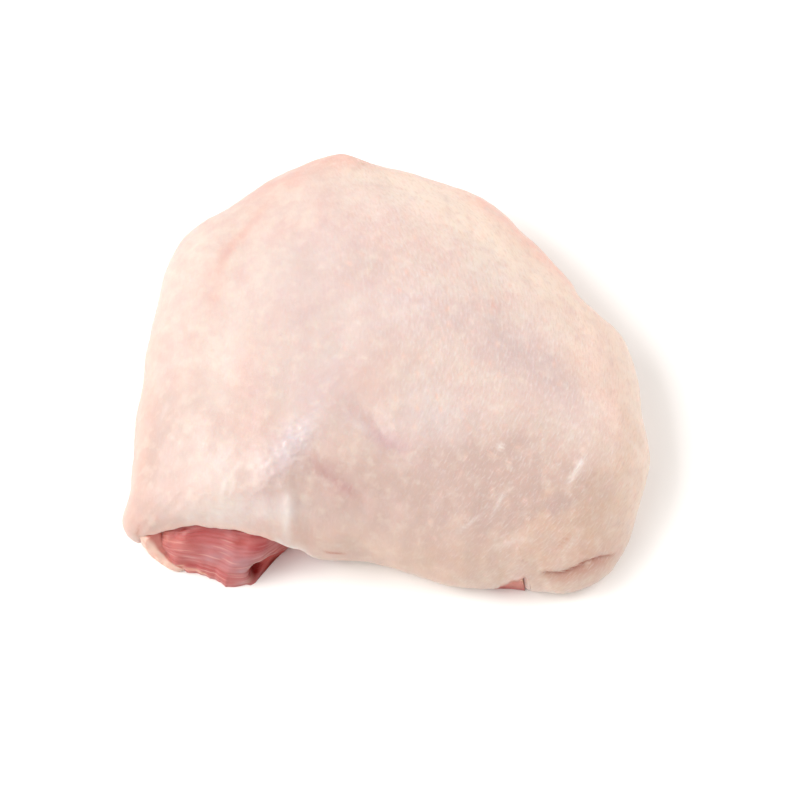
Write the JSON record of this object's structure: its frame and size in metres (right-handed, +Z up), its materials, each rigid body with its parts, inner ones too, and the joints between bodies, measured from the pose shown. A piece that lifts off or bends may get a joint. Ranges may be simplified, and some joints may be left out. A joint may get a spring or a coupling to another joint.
{
  "type": "raw chicken thigh",
  "caption": "Raw chicken thigh lying skin side up: plump muscle draped in pale skin, with the cut meat bare at one front corner and a folded skin edge at the other.",
  "frame": {"origin": "on the table, under the middle of the thigh", "axes": "+Z up; -Y towards the side with the bare muscle end; +X along the thigh's longest side, away from the bare corner"},
  "size_m": [0.1201, 0.1118, 0.0306],
  "materials": {
    "skin": "moist pale poultry skin with follicle bumps and a soft sheen",
    "muscle": "wet pink-red cut muscle with fine fibres",
    "fat": "moist pale fat"
  },
  "bodies": {
    "root": {"skin": "skin", "muscle": "muscle", "fat": "fat"}
  },
  "joints": []
}
